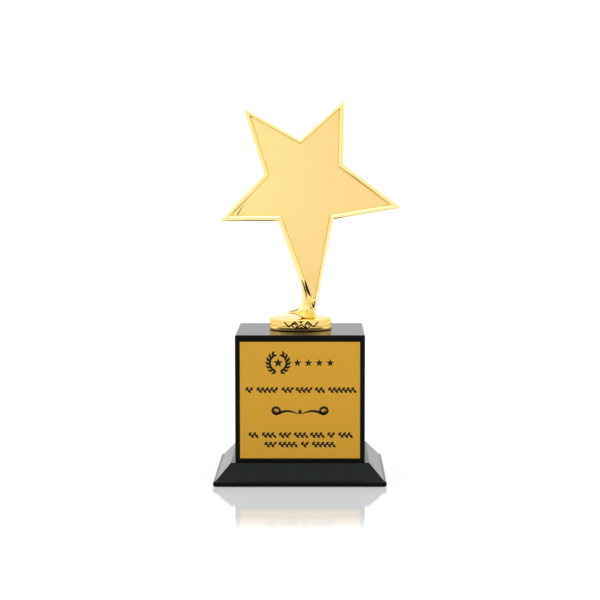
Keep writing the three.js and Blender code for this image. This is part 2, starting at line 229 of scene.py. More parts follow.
def foot_of_star(made):
    """1 on the lowest, left end of the star's rim, which is painted a darker shade."""
    low, high = (DISC_TOP + FOOT_FROM) * MM, (DISC_TOP + FOOT_TO) * MM
    below = made.spread(made.part(made.place(), "Z"), 1, 0, low, high)
    left = made.spread(made.part(made.place(), "X"), 1, 0, FOOT_LEFT * MM, FOOT_RIGHT * MM)
    return made.combine("MULTIPLY", below, left)


# The lines in the disc's wall are painted dark, as shade, inside the first radius and unshaded outside the
# second, and the painted shade ends this far below the disc's top.
GROOVE_SHADE_RADIUS, GROOVE_UNSHADED_RADIUS = 19.72, 20.5
GROOVE_SHADE_BELOW = 0.3


def engraving(made):
    """Painted shade: 0 deep in the lines engraved into the disc's wall, 1 elsewhere."""
    radius = made.length(made.place((1, 1, 0)))
    shallow = made.spread(radius, 0, 1, GROOVE_SHADE_RADIUS * MM, GROOVE_UNSHADED_RADIUS * MM)
    end = DISC_TOP - GROOVE_SHADE_BELOW
    brim = made.spread(made.part(made.place(), "Z"), 0, 1, end * MM, (end + 0.05) * MM)
    return made.combine("MAXIMUM", shallow, brim)


# The groove between the swoosh and the satin face goes left by SLANT for each millimetre up. It is painted
# dark, as shade, between two edges, measured at the disc's top, and two heights above it. Its painted shade
# is darkest nearer to the star's plane than SLANT_DEEP, and it is unshaded further from it than
# SLANT_SHALLOW.
SLANT = 0.353
SLANT_LEFT, SLANT_RIGHT = 10.4, 12.8
SLANT_LOW, SLANT_HIGH = 14.3, 26
SLANT_DEEP, SLANT_SHALLOW = 1.3, 2.2


def beside_face(made):
    """Painted shade: 0 inside the groove between the swoosh and the satin face, 1 elsewhere."""
    place = made.place()
    height = made.part(place, "Z")
    across = made.combine("ADD", made.part(place, "X"), made.part(made.place((1, 1, SLANT)), "Z"))
    foot = SLANT * DISC_TOP
    depth = made.node("ShaderNodeMath", operation="ABSOLUTE")
    made.link(made.part(place, "Y"), depth.inputs[0])
    unshaded = made.spread(depth.outputs["Value"], 0.1, 1, SLANT_DEEP * MM, SLANT_SHALLOW * MM)
    for value, edge, width, before in (
        (across, foot + SLANT_LEFT, 0.2, 1), (across, foot + SLANT_RIGHT, 0.2, 0),
        (height, DISC_TOP + SLANT_LOW, 0.5, 1), (height, DISC_TOP + SLANT_HIGH, 1, 0),
    ):
        outside = made.spread(value, before, 1 - before, edge * MM, (edge + width) * MM)
        unshaded = made.combine("MAXIMUM", unshaded, outside)
    return unshaded


def satin_gold():
    """Fine-blasted plating with painted light: lighter lemon on the left side of the star, darker peach on
    the right, and painted shade towards the bottom.
    """
    made = Shader("satin_gold", Metallic=1.0)
    # Painted light: lighter lemon on the left, darker peach on the right.
    across = made.spread(made.part(made.place(), "X"), 0, 1, -30 * MM, 30 * MM)
    sides = made.blend(across, (0.98, 0.79, 0.322), (0.97, 0.69, 0.28))
    # Painted shade: darker towards the bottom.
    lower = made.spread(made.part(made.place(), "Z"), 1, 0, 120 * MM, 190 * MM)
    tone = made.blend(lower, sides, (0.93, 0.645, 0.258))
    cloud = made.spread(made.noise(55, 3), 0, 0.35)
    made.colour(made.blend(cloud, tone, (0.97, 0.72, 0.292)))
    made.rough(made.spread(made.noise(900, 5, 0.7), 0.33, 0.43))
    made.bump(made.noise(5200, 2, 0.6), 0.012)
    return made.material


def grained(name, noise, first, second, roughness, relief, **sockets):
    """A material whose colour, roughness and relief all follow one noise."""
    made = Shader(name, **sockets)
    grain = made.noise(*noise)
    made.colour(made.blend(grain, first, second))
    made.rough(made.spread(grain, *roughness))
    made.bump(grain, relief)
    return made.material


def black_lacquer():
    """Sprayed and buffed black lacquer with a slight orange peel."""
    made = Shader("black_lacquer", IOR=1.17)
    made.colour(made.blend(made.noise(60, 3), (0.0004, 0.0008, 0.0006), (0.001, 0.0014, 0.0012)))
    made.rough(made.spread(made.noise(120, 3), 0.18, 0.21))
    made.bump(made.noise(240, 1), 0.001)
    return made.material


def zinc_steel():
    made = Shader("zinc_steel", Metallic=1.0)
    crystals = made.node("ShaderNodeTexVoronoi", feature="F1")
    crystals.inputs["Scale"].default_value = 900
    made.link(made.place(), crystals.inputs["Vector"])
    made.colour(made.blend(crystals.outputs["Distance"], (0.5, 0.53, 0.57), (0.66, 0.66, 0.64)))
    made.rough(made.spread(made.noise(500, 4), 0.24, 0.42))
    made.bump(made.noise(1500, 3), 0.01)
    return made.material


MATERIALS = {
    # Painted shade: the star's foot is painted a darker gold, and its creases and the groove beside the satin
    # face dark.
    "polished_gold": polished_gold(
        "polished_gold", (0.08, 0.34), 1.6, (0.88, 0.62, 0.18), foot_of_star, beside_face
    ),
    "satin_gold": satin_gold(),
    # Anodised sheet with a fine horizontal brushing.
    "plate_gold": grained(
        "plate_gold", (700, 4, 0.65, (0.05, 1, 6)), (0.59, 0.315, 0.031), (0.64, 0.35, 0.038),
        (0.42, 0.54), 0.006, Metallic=0.9,
    ),
    "black_lacquer": black_lacquer(),
    "raw_wood": grained(
        "raw_wood", (300, 5, 0.6, (1, 1, 0.06), 0.6), (0.36, 0.2, 0.09), (0.62, 0.41, 0.22), (0.85, 0.6), 0.12
    ),
    "zinc_steel": zinc_steel(),
    "black_felt": grained(
        "black_felt", (2600, 4, 0.75, (1, 1, 1), 1.5), (0.004, 0.004, 0.0045), (0.022, 0.022, 0.024),
        (0.85, 1.0), 0.25, Sheen_Weight=0.5, Sheen_Roughness=0.6,
    ),
    "foam_tape": grained(
        "foam_tape", (3200, 3, 0.6), (0.55, 0.54, 0.5), (0.72, 0.71, 0.66), (0.9, 0.7), 0.03
    ),
}
# Painted shade: the stem's heel side is painted a darker gold, and its creases dark.
STEM_GOLD = polished_gold("polished_gold_stem", (0.2, 0.58), 1.2, (0.9, 0.78, 0.34), heel_side)
# Painted light: the disc's walls and underside are painted a darker gold than its top, and its creases and
# engraved lines dark.
DISC_GOLD = polished_gold(
    "polished_gold_disc", (0.48, 0.9), 1.2, (0.9, 0.62, 0.2), upright, engraving, unshaded_tops=True
)
# Screen-printed ink, a touch thinner in places.
INK = grained(
    "black_ink", (2600, 4, 0.7), (0.003, 0.002, 0.0015), (0.012, 0.008, 0.004), (0.4, 0.6), 0.004, IOR=1.3
)


# ---- Mesh helpers ----

SCRAP = 8  # an island of fewer faces than this is left over from a cut
SLIVER = 1e-3  # after a cut, points nearer than this are one point
DOUBLED = 1e-5  # and in a new mesh


def swept(mesh):
    """Takes the slivers and the loose scraps that cutting leaves out of the mesh."""
    work = bmesh.new()
    work.from_mesh(mesh)
    bmesh.ops.remove_doubles(work, verts=work.verts, dist=SLIVER)
    bmesh.ops.dissolve_degenerate(work, edges=work.edges, dist=SLIVER)
    bmesh.ops.dissolve_verts(work, verts=[v for v in work.verts if len(v.link_edges) == 2])
    bmesh.ops.holes_fill(work, edges=[edge for edge in work.edges if edge.is_boundary], sides=0)
    work.faces.index_update()
    seen = set()
    scraps = []
    for first in work.faces:
        if first.index in seen:
            continue
        seen.add(first.index)
        island = [first]
        for face in island:
            for edge in face.edges:
                if len(edge.link_faces) != 2:
                    continue
                fresh = [other for other in edge.link_faces if other.index not in seen]
                seen.update(other.index for other in fresh)
                island += fresh
        if len(island) < SCRAP:
            scraps += island
    bmesh.ops.delete(work, geom=scraps, context="FACES")
    work.to_mesh(mesh)
    work.free()


def placed(name, data):
    """A new object in the scene."""
    made = bpy.data.objects.new(name, data)
    bpy.context.scene.collection.objects.link(made)
    return made


def piece(name, mesh, slot, nodes=(), smooth_below=30, material=None):
    """Makes mesh a piece of the object, in millimetres until here, in place of the CAD nodes."""
    mesh.name = name
    if len(mesh.polygons) > SCRAP:
        swept(mesh)
    mesh.transform(Matrix.Scale(MM, 4))
    mesh.materials.clear()
    mesh.materials.append(material or MATERIALS[slot])
    mesh.shade_smooth()
    mesh.set_sharp_from_angle(angle=math.radians(smooth_below))
    made = placed(name, mesh)
    shading = made.modifiers.new("weighted normals", "WEIGHTED_NORMAL")
    shading.mode = "FACE_AREA"
    shading.weight = 100
    shading.keep_sharp = True
    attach(made, "root")
    if nodes:
        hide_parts(*nodes)
    return made


def mesh_of(points, faces):
    """A closed mesh with doubled points merged and its faces turned outwards."""
    mesh = bpy.data.meshes.new("mesh")
    work = bmesh.new()
    corners = [work.verts.new(point) for point in points]
    for face in faces:
        if len({tuple(corners[i].co) for i in face}) > 2:
            work.faces.new([corners[i] for i in face])
    bmesh.ops.remove_doubles(work, verts=work.verts, dist=DOUBLED)
    bmesh.ops.dissolve_degenerate(work, edges=work.edges, dist=DOUBLED)
    bmesh.ops.recalc_face_normals(work, faces=work.faces)
    work.to_mesh(mesh)
    work.free()
    return mesh


def cap_faces(ring, start):
    """Triangles over a flat ring of points, whatever its shape."""
    return [[start + i for i in face] for face in geometry.tessellate_polygon([ring])]


def loft(rings, closed=False):
    """A mesh through rings of equally many points, capped at both ends, or joined end to end if closed."""
    count = len(rings[0])
    points = [point for ring in rings for point in ring]
    faces = []
    steps = len(rings) if closed else len(rings) - 1
    for ring in range(steps):
        above = (ring + 1) % len(rings)
        for i in range(count):
            j = (i + 1) % count
            faces.append([ring * count + i, ring * count + j, above * count + j, above * count + i])
    if not closed:
        faces += cap_faces(rings[0], 0)
        faces += cap_faces(rings[-1], (len(rings) - 1) * count)
    return mesh_of(points, faces)


def lathe(profile, steps=96, x=0, y=0):
    """A solid of revolution about a vertical axis, from radius and height pairs."""
    rings = []
    for radius, z in profile:
        angles = [2 * math.pi * i / steps for i in range(steps)]
        rings.append([Vector((x + radius * math.cos(a), y + radius * math.sin(a), z)) for a in angles])
    return loft(rings)


def tube(profile, steps=64):
    """A ring about the vertical axis, from a closed section of radius and height pairs."""
    rings = []
    for i in range(steps):
        a = 2 * math.pi * i / steps
        rings.append([Vector((r * math.cos(a), r * math.sin(a), z)) for r, z in profile])
    return loft(rings, closed=True)


def joined(meshes):
    """Several meshes as one."""
    work = bmesh.new()
    for mesh in meshes:
        work.from_mesh(mesh)
    made = bpy.data.meshes.new("joined")
    work.to_mesh(made)
    work.free()
    return made


def with_modifiers(mesh, *recipes):
    """The mesh after modifiers, each given as its type and its settings."""
    scratch = placed("scratch", mesh)
    for kind, settings in recipes:
        modifier = scratch.modifiers.new(kind, kind)
        for key, value in settings.items():
            setattr(modifier, key, value)
    graph = bpy.context.evaluated_depsgraph_get()
    made = bpy.data.meshes.new_from_object(scratch.evaluated_get(graph))
    bpy.data.objects.remove(scratch)
    return made


def cut(mesh, cutters):
    """mesh with the cutters' shapes taken away."""
    tools = placed("tools", joined(cutters))
    settings = {"operation": "DIFFERENCE", "solver": "EXACT", "object": tools}
    made = with_modifiers(mesh, ("BOOLEAN", settings))
    bpy.data.objects.remove(tools)
    return made


def bevelled(mesh, width, segments=3, angle=35):
    limit = {"limit_method": "ANGLE", "angle_limit": math.radians(angle)}
    return with_modifiers(mesh, ("BEVEL", {"width": width, "segments": segments, **limit}))


def block(low, high):
    """A box between two corners."""
    low, high = Vector(low), Vector(high)
    ring = [(low.x, low.y), (high.x, low.y), (high.x, high.y), (low.x, high.y)]
    return loft([[Vector((x, y, z)) for x, y in ring] for z in (low.z, high.z)])


def hole(radius, low, high, x=0, steps=48):
    """A cutter for a round hole, which starts a little below its mouth."""
    return lathe([(radius, low - 1), (radius, high)], steps, x)


def rounded_square(half, radius, z, steps=8):
    """A square ring of points at one height, with rounded corners."""
    ring = []
    for corner in range(4):
        turn = corner * math.pi / 2
        centre = Matrix.Rotation(turn, 2) @ Vector((half - radius, half - radius))
        for step in range(steps + 1):
            a = turn + step / steps * math.pi / 2
            ring.append(Vector((centre.x + radius * math.cos(a), centre.y + radius * math.sin(a), z)))
    return ring


def arc(centre, radius, start, end, steps):
    """Points on an arc, angles in degrees, as pairs."""
    made = []
    for i in range(steps + 1):
        a = math.radians(start + (end - start) * i / steps)
        made.append((centre[0] + radius * math.cos(a), centre[1] + radius * math.sin(a)))
    return made


# ---- Star ----

HALF_WALL = 2.2  # half of the flat part of the star's edge
HALF_WEB = 1.5  # half of the web between the two satin faces
TANG_END = 1.2  # where the star ends in the stem, above the disc's top
FACE_LIFT = 0.6  # thickness of the satin face
# Distance from the outline to the satin face at the start and the end of each edge of the outline.
FACE_EDGE = [
    (2.15, 2.1), (2.0, 2.0), (3.5, 3.5), (3.2, 3.2), (3.4, 3.3),
    (2.7, 1.9), (3.7, 3.1), (3.8, 3.9), (3.2, 3.1), (3.0, 2.9),
]
FACE_GAP = 0.05  # between the polished bead and the satin face
BEAD = [(start - FACE_GAP, end - FACE_GAP) for start, end in FACE_EDGE]
CREST = 0.42  # where the bead is highest, as share of its width
TIP_ROUNDING = 0.55
NOTCH_ROUNDING = 0.8
ROUND_STEPS = 5


def meeting(corner, before, after, inset_before, inset_after):
    """Where two edges of the outline meet after each moves inwards by its own distance."""
    turn = before.cross(after)
    first = corner + Vector((before.y, -before.x)) * inset_before
    second = corner + Vector((after.y, -after.x)) * inset_after
    return first + before * ((second - first).cross(after) / turn)


def inner_corners(widths, share=1.0):
    """The outline's corners moved inwards by a share of each edge's width, with the edge directions there."""
    points = [Vector(point) for point in STAR_OUTLINE]
    count = len(points)
    made = []
    for i, corner in enumerate(points):
        before = (corner - points[i - 1]).normalized()
        after = (points[(i + 1) % count] - corner).normalized()
        inset_before = widths[i - 1][1] * share
        inset_after = widths[i][0] * share
        made.append(meeting(corner, before, after, inset_before, inset_after))
    return made


def curve_round(corner, start, end, pull=1.0):
    """Points from start to end on a curve that bends towards a corner."""
    middle = (start + end) / 2
    control = middle.lerp(corner, pull)
    shares = [i / ROUND_STEPS for i in range(ROUND_STEPS + 1)]
    return [start.lerp(control, t).lerp(control.lerp(end, t), t) for t in shares]


def star_ring(share, y):
    """The star's outline moved inwards, with softened corners, as points at one depth."""
    corners = inner_corners(BEAD, share)
    count = len(corners)
    points = []
    for i, corner in enumerate(corners):
        to_last = (corners[i - 1] - corner).normalized()
        to_next = (corners[(i + 1) % count] - corner).normalized()
        soft = TIP_ROUNDING if i % 2 == 0 else NOTCH_ROUNDING
        soft *= 1 - 0.6 * share
        points += curve_round(corner, corner + to_last * soft, corner + to_next * soft)
    return [Vector((p.x, y, p.y + DISC_TOP)) for p in points]


def rim_section(side):
    """One side of the rim, as share of the bead's width, and depth: steep outside, sloping to the face."""
    height = STAR_HALF_DEPTH - HALF_WALL
    made = []
    for i in range(8):
        a = math.pi / 2 * i / 7
        made.append((CREST * (1 - math.cos(a)), side * (HALF_WALL + height * math.sin(a))))
    level = HALF_WEB + FACE_LIFT
    for i in range(1, 10):
        fall = math.cos(math.pi / 2 * (i / 9) ** 1.3)
        made.append((CREST + (1 - CREST) * i / 9, side * (level + (STAR_HALF_DEPTH - level) * fall)))
    made.append((1.0, side * HALF_WEB))
    return made


def star_frame():
    section = rim_section(1)[::-1] + rim_section(-1)
    mesh = loft([star_ring(share, y) for share, y in section])
    below = block((-200, -50, -100), (200, 50, DISC_TOP + TANG_END))
    return piece("star_frame_cast", engraved(cut(mesh, [below])), "polished_gold", ["star_frame"], 40)


# How far round the satin face each tip is cut off, before and after it, and how far the cut bulges.
FACE_TIPS = {0: (1.1, 1.3, 1.0), 2: (0.8, 0.8, 1.0), 4: (1.2, 1.2, 1.0), 8: (4.0, 13.8, 0.0)}
FACE_BOTTOM = 14.6


def face_outline():
    """The satin face's outline above the disc's top, with the tips rounded and the lowest one cut level."""
    corners = inner_corners(FACE_EDGE)
    count = len(corners)
    made = []
    for i, corner in enumerate(corners):
        to_last = (corners[i - 1] - corner).normalized()
        to_next = (corners[(i + 1) % count] - corner).normalized()
        if i in FACE_TIPS:
            back, on, pull = FACE_TIPS[i]
            made += curve_round(corner, corner + to_last * back, corner + to_next * on, pull)
        elif i == LOWEST_TIP:
            rise = FACE_BOTTOM - corner.y
            right = corner + to_last * (rise / to_last.y)
            left = corner + to_next * (rise / to_next.y)
            made += curve_round(right, right + to_last * 0.6, right.lerp(left, 0.2))
            made += curve_round(left, right.lerp(left, 0.8), left + to_next * 0.6)
        else:
            made += curve_round(corner, corner + to_last * 0.3, corner + to_next * 0.3)
    return made


def star_face(side, name):
    outline = face_outline()
    outer = side * (HALF_WEB + FACE_LIFT)
    rings = [[Vector((p.x, y, p.y + DISC_TOP)) for p in outline] for y in (side * HALF_WEB, outer)]
    mesh = bevelled(loft(rings), 0.16, 3, 60)
    return piece(name + "_sheet", mesh, "satin_gold", [name], 40)


# ---- Stem ----

# The swoosh from the upturned toe to its end along the star's edge: sideways, above the disc's top,
# half width, half depth and, where it isn't 2 for round, how square its section is.
SWOOSH = [
    (-9.5, 3.5, 0.35, 0.7, 2.0), (-8.2, 3.65, 0.95, 1.7, 2.0), (-6.0, 3.75, 1.3, 2.6, 2.1),
    (-4.0, 3.9, 1.5, 3.4, 2.2), (-2.0, 4.0, 2.0, 4.2, 2.3), (0.1, 4.6, 2.8, 4.9, 2.4),
    (1.9, 6.7, 3.0, 5.3, 2.5), (2.75, 9.4, 2.45, 5.3, 2.6), (2.7, 12.0, 1.85, 5.1, 2.8),
    (2.45, 14.5, 1.4, 4.9, 3.0), (2.3, 17.0, 1.35, 4.8, 3.0), (1.75, 20.4, 1.2, 4.6, 3.0),
    (0.65, 23.9, 0.85, 4.2, 2.8), (-0.35, 26.8, 0.3, 3.6, 2.4),
]
# The ribbon that runs down from the star's bead into the heel, likewise.
RIBBON = [
    (4.3, 15.0, 0.7, 3.6), (4.9, 12.0, 1.0, 4.0), (5.5, 9.0, 1.15, 4.3),
    (6.1, 6.5, 1.15, 4.7), (6.8, 4.0, 1.4, 5.4), (6.9, 1.5, 1.7, 5.0),
    (6.9, -0.5, 1.9, 4.6),
]
# The two lobes of the heel and its run to the toe, likewise. They narrow towards the disc, so that it is
# mirrored in them.
HEEL = [
    [
        (4.5, -0.5, 2.7, 4.3), (4.35, 1.0, 3.2, 4.9), (4.2, 3.0, 3.55, 5.5),
        (4.1, 5.0, 3.6, 6.0), (3.95, 6.8, 3.1, 6.25), (3.8, 8.4, 2.1, 5.7),
        (3.7, 10.0, 0.9, 4.6),
    ],
    [
        (8.6, -0.5, 1.3, 4.2), (8.6, 1.5, 1.55, 4.9), (8.6, 3.5, 1.7, 5.4),
        (8.5, 5.5, 1.6, 5.6), (8.4, 7.5, 1.15, 5.1), (8.35, 9.5, 0.5, 4.1),
    ],
    [
        (-4.5, 3.4, 0.5, 2.6), (-2.4, 3.1, 1.1, 3.8), (-0.6, 2.6, 1.5, 4.5),
        (1.2, 1.9, 1.8, 4.9), (3.2, 1.0, 2.0, 4.9), (5.0, 0.6, 1.8, 4.6),
    ],
]
# Grooves in the stem and in the star's rim, likewise, each after how far before the star's plane its middle
# is: beside the swoosh, beside the satin face, below it (three), at the cut end of its left arm, and along
# the upper and the lower side of the toe.
GROOVES = [
    (4.4, [
        (0.95, 26.2, 0.1, 1.2), (1.6, 24.0, 0.32, 2.2), (2.5, 21.4, 0.5, 2.5),
        (3.35, 18.4, 0.62, 2.6), (4.05, 16.2, 0.55, 2.5), (4.55, 14.6, 0.15, 1.6),
    ]),
    (2.6, [
        (2.85, 25.6, 0.2, 1.6), (3.4, 23.6, 0.55, 2.3), (4.1, 21.0, 0.78, 2.3),
        (4.95, 18.4, 0.86, 2.3), (5.8, 16.4, 0.6, 2.3), (6.7, 14.7, 0.2, 1.6),
    ]),
    (3.6, [(8.7, 12.9, 0.2, 2.6), (9.05, 13.5, 0.55, 3.0), (9.5, 14.0, 0.2, 2.6)]),
    (4.2, [(7.6, 10.6, 0.15, 2.6), (8.15, 9.0, 0.42, 3.2), (8.8, 7.1, 0.3, 2.6)]),
    (4.2, [(9.9, 11.6, 0.15, 2.6), (9.45, 9.4, 0.42, 3.2), (8.8, 7.1, 0.3, 2.6)]),
    (2.6, [(-33.4, 82.4, 0.3, 1.9), (-38.1, 75.5, 0.45, 2.1), (-42.4, 69.4, 0.5, 2.1)]),
    (2.5, [
        (-8.4, 4.0, 0.1, 0.7), (-6.2, 4.45, 0.28, 1.1), (-4.2, 4.9, 0.34, 1.2),
        (-2.2, 5.4, 0.34, 1.3), (-0.6, 6.6, 0.15, 1.1),
    ]),
    (2.6, [
        (-8.2, 3.0, 0.1, 0.8), (-6.4, 3.05, 0.24, 1.1), (-4.4, 2.9, 0.3, 1.2),
        (-2.4, 2.35, 0.32, 1.4), (-0.8, 1.3, 0.28, 1.5), (0.3, 0.3, 0.15, 1.3),
    ]),
]


def catmull_rom(p, q, r, s, t):
    square, cube = (2 * p - 5 * q + 4 * r - s) * t * t, (3 * q - p - 3 * r + s) * t ** 3
    return 0.5 * (2 * q + (r - p) * t + square + cube)


def smooth_through(stations, steps):
    """Catmull-Rom interpolation of equal-length tuples."""
    made = []
    last = len(stations) - 1
    for i in range(last * steps + 1):
        k = min(i // steps, last - 1)
        t = i / steps - k
        a, b = stations[max(k - 1, 0)], stations[k]
        c, d = stations[k + 1], stations[min(k + 2, last)]
        made.append([catmull_rom(*values, t) for values in zip(a, b, c, d)])
    return made


def limb(stations, sides=48, steps=8):
    """A tapering limb with a rounded section, along stations in the star's plane."""
    centres = smooth_through([(*row, 2.0)[:5] for row in stations], steps)
    rings = []
    for i, (x, z, width, depth, square) in enumerate(centres):
        before, after = centres[max(i - 1, 0)], centres[min(i + 1, len(centres) - 1)]
        along = Vector((after[0] - before[0], 0, after[1] - before[1])).normalized()
        across = Vector((-along.z, 0, along.x))
        ring = []
        for j in range(sides):
            a = 2 * math.pi * j / sides
            c, d = math.cos(a), math.sin(a)
            u = math.copysign(abs(c) ** (2 / square), c) * width
            y = math.copysign(abs(d) ** (2 / square), d) * depth
            ring.append(Vector((x, y, z + DISC_TOP)) + across * u)
        rings.append(ring)
    return loft(rings)


def engraved(mesh):
    """The mesh with the grooves cut in, from the front and from the back."""
    for distance, stations in GROOVES:
        for side in (-1, 1):
            cutter = limb(stations, 24, 4)
            cutter.transform(Matrix.Translation((0, side * distance, 0)))
            mesh = cut(mesh, [cutter])
    return mesh


STEM_GAP = 0.02  # between the stem and the disc


def stem():
    """The sculpted foot: its limbs and lobes melted together, polished, and cut off level at the disc."""
    body = joined([limb(stations) for stations in (SWOOSH, RIBBON, *HEEL)])
    mesh = with_modifiers(
        body,
        ("REMESH", {"mode": "VOXEL", "voxel_size": 0.16}),
        ("SMOOTH", {"factor": 0.5, "iterations": 6}),
    )
    mesh = engraved(mesh)
    floor = block((-50, -50, -50), (50, 50, DISC_TOP + STEM_GAP))
    return piece("stem_cast", cut(mesh, [floor]), "polished_gold", ["stem"], 60, STEM_GOLD)


# ---- Disc ----

WALL_RADIUS = 20.75
# The roll at the disc's foot leans back at the disc's two sides. The lean fades in from this sine of the
# angle from the front, and grows with the height above the disc's foot and with the radius.
SIDES_FROM, SIDES_FADE = 0.62, 0.2
LEAN = 0.4
LEAN_LOW, LEAN_HIGH = 1, 3.12
LEAN_INSIDE, LEAN_WIDTH = 20.5, 0.6
# The emblem cut into the front of the disc's wall. Places are degrees from its middle and heights above the
# disc's foot; the lines and the diamond are mirrored to the other side.
EMBLEM_TURN = 1.9
GROOVE_HALF_WIDTH = 0.46
GROOVE_BOTTOM = 19.9
CUTTER_REACH = 21.6
GROOVE_LINES = [
    [(33, 6.3), (23, 3.3), (12, 6.8), (6.4, 4.6)],
    [(18.3, 4.6), (12, 2.2), (6.4, 4.6)],
    [(0, 5.1), (8.6, 2.2)],
    [(0, 3.1), (3.6, 1.9)],
]
# Corners of the flat diamond and of the pointed notch, with the radius of the cutter's inner end.
DIAMOND = [(12, 6.5, 20.58), (17.3, 4.5, 20.5), (12, 2.5, 20.42), (6.7, 4.5, 20.5)]
NOTCH = [(-5.6, 7.2), (4.6, 7.2), (-0.5, 5.4)]
NOTCH_BOTTOM = [(-5.1, 7.15, 18.9), (4.1, 7.15, 19.4), (-0.5, 5.8, 19)]
# Rooms under the disc for the rod and for a screw's head: radius and depth.
ROD_ROOM, ROD_ROOM_DEPTH = 3.3, 6.1
HEAD_ROOM, HEAD_ROOM_DEPTH = 3.05, 2.8


def on_disc(degrees, z, radius):
    a = math.radians(degrees + EMBLEM_TURN - 90)
    return Vector((radius * math.cos(a), radius * math.sin(a), DISC_LOW.z + z))


def groove(start, end, steps=6):
    """A V-shaped cutter between two places on the disc's wall."""
    per_degree = math.radians(WALL_RADIUS)
    start, end = Vector(start), Vector(end)
    along = Vector(((end.x - start.x) * per_degree, end.y - start.y)).normalized()
    spread = GROOVE_HALF_WIDTH * (CUTTER_REACH - GROOVE_BOTTOM) / (WALL_RADIUS - GROOVE_BOTTOM)
    aside = Vector((-along.y / per_degree, along.x)) * spread
    rings = []
    for i in range(steps + 1):
        middle = start.lerp(end, i / steps)
        mouth = [on_disc(*(middle + aside * side), CUTTER_REACH) for side in (1, -1)]
        rings.append([mouth[0], on_disc(*middle, GROOVE_BOTTOM), mouth[1]])
    return loft(rings)


def pocket(mouth, floor):
    """A cutter from the wall's outside in to a floor whose corners have radii of their own."""
    mouth = [corner[:2] for corner in mouth]
    rings = [[on_disc(*corner, radius) for corner in mouth] for radius in (CUTTER_REACH, WALL_RADIUS)]
    return loft([*rings, [on_disc(*corner) for corner in floor]])


def emblem():
    cutters = [pocket(NOTCH, NOTCH_BOTTOM)]
    for side in (1, -1):
        diamond = [(side * degrees, z, radius) for degrees, z, radius in DIAMOND]
        cutters.append(pocket(diamond, diamond))
        for line in GROOVE_LINES:
            line = [(side * degrees, z) for degrees, z in line]
            cutters += [groove(start, end) for start, end in zip(line, line[1:])]
    return cutters


def lean_back(mesh):
    """Leans the roll back at the disc's two sides, where it catches the light."""
    for vertex in mesh.vertices:
        place = vertex.co
        height = place.z - DISC_LOW.z
        radius = math.hypot(place.x, place.y)
        if radius > LEAN_INSIDE and LEAN_LOW < height < LEAN_HIGH:
            side = (abs(place.x) / radius - SIDES_FROM) / SIDES_FADE
            rise = (height - LEAN_LOW) / (LEAN_HIGH - LEAN_LOW)
            out = (radius - LEAN_INSIDE) / LEAN_WIDTH
            place.xy *= 1 - LEAN * min(max(side, 0), 1) * rise * out / radius


def disc():
    """The disc: a rolled foot, a plain wall with the emblem, a soft brim and a fine turned line on top."""
    roll = arc((20.3, 0.6), 0.6, -90, -5, 6) + [(20.97, 1.25), (21.05, 1.9)]
    roll += arc((20.72, 2.72), 0.4, -5, 70, 6)
    crease = [(20.68, 3.17), (20.7, 3.3)]
    brim = arc((WALL_RADIUS - 0.4, DISC_HEIGHT - 0.4), 0.4, 0, 90, 5)
    line = [(18.4, DISC_HEIGHT), (18.15, DISC_HEIGHT - 0.1), (17.9, DISC_HEIGHT)]
    profile = [*roll, *crease, (WALL_RADIUS, 3.4), *brim, *line]
    body = lathe([(radius, DISC_LOW.z + z) for radius, z in profile], 192)
    lean_back(body)
    for cutter in [*disc_holes(), *emblem()]:
        body = cut(body, [cutter])
    return piece("riser_disc_engraved", body, "polished_gold", ["riser_disc"], 25, DISC_GOLD)


def disc_holes():
    """Rooms for the rod and for the head of the stem's screw."""
    low, high = box_mm("stem_screw")
    rod_room = hole(ROD_ROOM, DISC_LOW.z, DISC_LOW.z + ROD_ROOM_DEPTH)
    return [rod_room, hole(HEAD_ROOM, DISC_LOW.z, DISC_LOW.z + HEAD_ROOM_DEPTH, (low.x + high.x) / 2)]


# ---- Box and plinth ----

EDGE = 0.9  # rounding of the box's edges
JOINT = 0.02  # half of the hairline at a joint
WALL = 6
ROD_HOLE = 3.5  # radius, in the top panel and in the plinth


def top_panel():
    low, high = BOX_LOW.z, BOX_HIGH.z
    rings = [rounded_square(BOX_HALF, EDGE, low + JOINT)]
    for x, z in arc((0, 0), EDGE, 0, 90, 6):
        inset = EDGE - x
        rings.append(rounded_square(BOX_HALF - inset, max(EDGE - inset, 0.02), high - EDGE + z))
    mesh = cut(loft(rings), [hole(ROD_HOLE, low, high + 1)])
    return piece("top_panel_lacquered", mesh, "black_lacquer", ["top_panel"], 40)


def wall_plan():
    """The front wall from above: a mitred plank with half of each rounded corner."""
    outer, inner = BOX_HALF, BOX_HALF - WALL
    right = arc((outer - EDGE, -outer + EDGE), EDGE, -90, -45, 4)
    left = [(-x, y) for x, y in reversed(right)]
    return [*right, (inner, -inner), (-inner, -inner), *left]


def wall(name, quarter):
    low, high = box_mm(name)
    turn = Matrix.Rotation(quarter * math.pi / 2, 3, "Z")
    plan = [Vector((x * (1 - JOINT / BOX_HALF), y, 0)) for x, y in wall_plan()]
    rings = [[turn @ (p + UP * z) for p in plan] for z in (low.z, high.z)]
    return piece(name + "_lacquered", loft(rings), "black_lacquer", [name], 25)


LIP = 3.6
LIP_ROUNDING = 1.6
FOOT_ROUNDING = 1.2
LEDGE_ROUNDING = 0.7
CORNER_ROUNDING = 1.6
SLOPE_TOP = 45.2
RECESS_RADIUS, RECESS_DEPTH = 11, 9
# A countersunk hole for a wood screw: radius, and height above the plinth's underside.
SCREW_HOLE = [(4, -1), (4, 0.3), (2.05, 2.7), (2.05, 20)]


